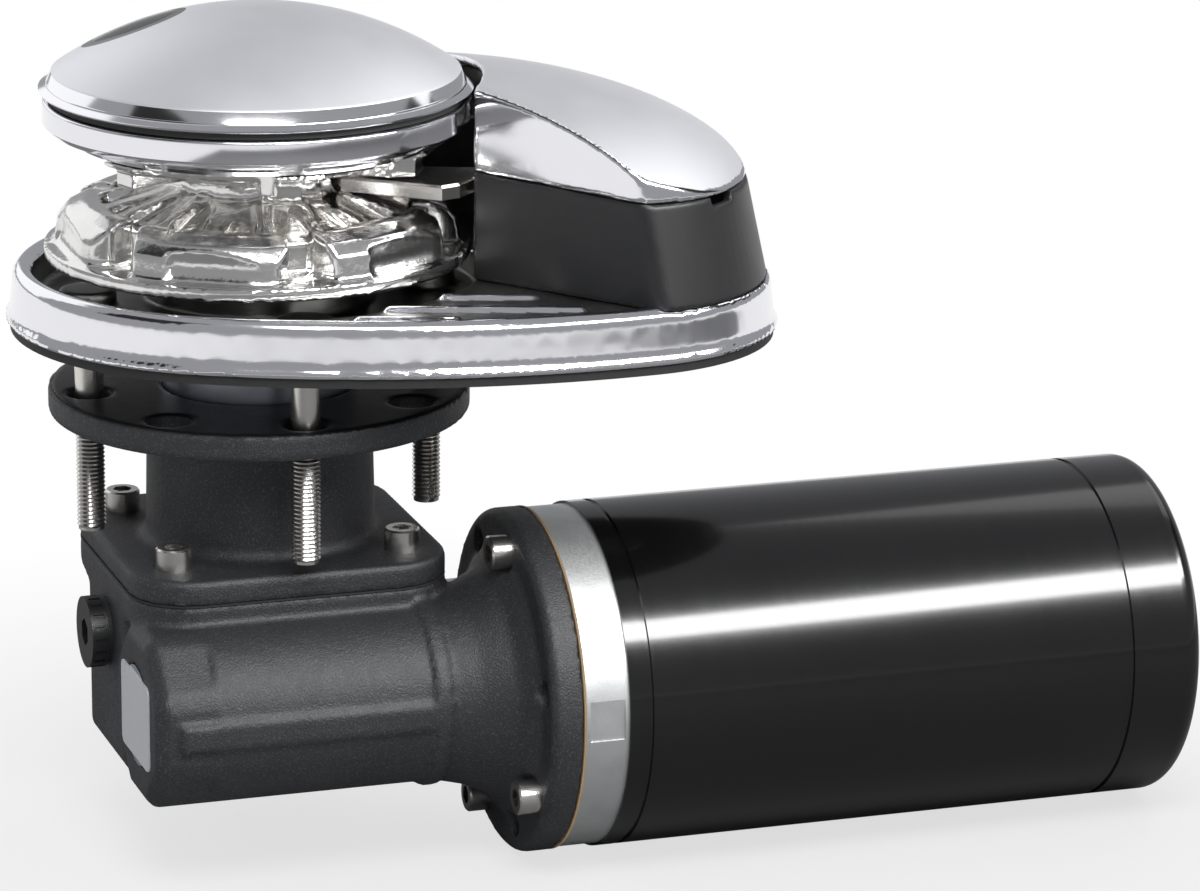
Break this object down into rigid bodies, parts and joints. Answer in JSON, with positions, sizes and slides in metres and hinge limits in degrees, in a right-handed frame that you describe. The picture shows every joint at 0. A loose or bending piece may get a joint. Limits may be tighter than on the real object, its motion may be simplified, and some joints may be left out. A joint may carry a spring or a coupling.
{
  "type": "anchor windlass",
  "caption": "Vertical anchor windlass: chain wheel with clutch cap and chain cover on a deck base, worm gearbox and electric motor below deck, held by deck studs.",
  "frame": {"origin": "on the main shaft's axis, at the deck's top surface, where the gasket rests", "axes": "+Z out of the deck along the main shaft; +X along the deck unit, from the chain wheel to the chain cover"},
  "size_m": [0.4155, 0.2271, 0.2929],
  "materials": {
    "polished_chrome": "mirror polished chrome plate",
    "satin_chrome": "satin chrome with polished edges",
    "black_rubber": "matt rubber",
    "zinc_steel": "bright zinc plated",
    "bronze": "machined bronze",
    "stainless": "machined stainless steel",
    "black_plastic": "moulded, finely textured",
    "black_gloss": "dark glossy inlay",
    "gearbox_paint": "dark grey textured coating",
    "paper_gasket": "brown gasket paper",
    "plate_metal": "satin, blank",
    "bearing_steel": "ground steel",
    "raw_aluminium": "machined, raw",
    "motor_paint": "gloss black enamel",
    "magnet": "ferrite",
    "lamination": "stacked sheet steel",
    "copper": "copper",
    "carbon": "pressed carbon",
    "insulator": "moulded insulation",
    "brass_terminal": "plated brass"
  },
  "bodies": {
    "root": {"base_plate": "polished_chrome", "base_gasket": "black_rubber", "centering_spigot": "zinc_steel", "base_bush": "bronze", "base_seal": "black_rubber", "deck_studs": "stainless", "cover_housing": "black_plastic", "cover_shell": "satin_chrome", "cover_screws": "stainless", "chain_stripper": "stainless", "stripper_screw": "stainless", "gearbox_cover": "gearbox_paint", "lid_screws": "stainless", "lid_gasket": "paper_gasket", "gearbox_housing": "gearbox_paint", "flange_screws": "stainless", "oil_plug": "black_plastic", "oil_plug_seal": "black_rubber", "blank_plate": "plate_metal", "barrel_end_plug": "zinc_steel", "output_seal": "black_rubber", "main_bearing_outer_rings": "bearing_steel", "main_bearing_balls": "bearing_steel", "drive_bearing_outer_rings": "bearing_steel", "drive_bearing_balls": "bearing_steel", "motor_gasket": "paper_gasket", "motor_front_bell": "raw_aluminium", "motor_tube": "motor_paint", "motor_rear_bell": "motor_paint", "motor_magnets": "magnet", "brushes": "carbon", "brush_springs": "bearing_steel", "brush_plate": "insulator", "terminal_studs": "brass_terminal", "terminal_insulators": "insulator"},
    "shaft": {"main_shaft": "stainless", "shaft_keys": "zinc_steel", "lower_clutch_cone": "bronze", "stop_washer": "stainless", "stop_screw": "stainless", "worm_wheel": "bronze", "shaft_spacers": "zinc_steel", "main_bearing_inner_rings": "bearing_steel"},
    "chain_wheel": {"gypsy": "polished_chrome", "gypsy_bush": "bronze"},
    "clutch_ring": {"upper_clutch_cone": "polished_chrome"},
    "cap": {"cap_dome": "satin_chrome", "cap_nut": "bronze", "cap_inlay": "black_gloss", "cap_seal_ring": "black_rubber"},
    "drive_line": {"worm": "bearing_steel", "drive_coupling": "zinc_steel", "armature_shaft": "bearing_steel", "armature_core": "lamination", "armature_windings": "copper", "commutator": "copper", "drive_bearing_inner_rings": "bearing_steel"}
  },
  "joints": [
    {"name": "shaft_turn", "type": "hinge", "parent": "root", "child": "shaft", "pos_m": [0, 0, 0], "axis": [0, 0, 1], "continuous": true},
    {"name": "worm_turn", "type": "hinge", "parent": "root", "child": "drive_line", "pos_m": [0.01913, -0.04619, -0.122], "axis": [0.9239, 0.3827, 0], "continuous": true},
    {"name": "wheel_free_turn", "type": "hinge", "parent": "shaft", "child": "chain_wheel", "pos_m": [0, 0, 0.05], "axis": [0, 0, 1], "continuous": true},
    {"name": "clutch_lift", "type": "slide", "parent": "shaft", "child": "clutch_ring", "axis": [0, 0, 1], "range_m": [0, 0.0015]},
    {"name": "cap_turn", "type": "hinge", "parent": "clutch_ring", "child": "cap", "pos_m": [0, 0, 0.09], "axis": [0, 0, 1], "range_deg": [0, 270]}
  ],
  "couplings": [
    {"joint": "worm_turn", "follows": "shaft_turn", "ratio": -32},
    {"joint": "clutch_lift", "follows": "cap_turn", "m_per_rad": 0.00031831}
  ]
}
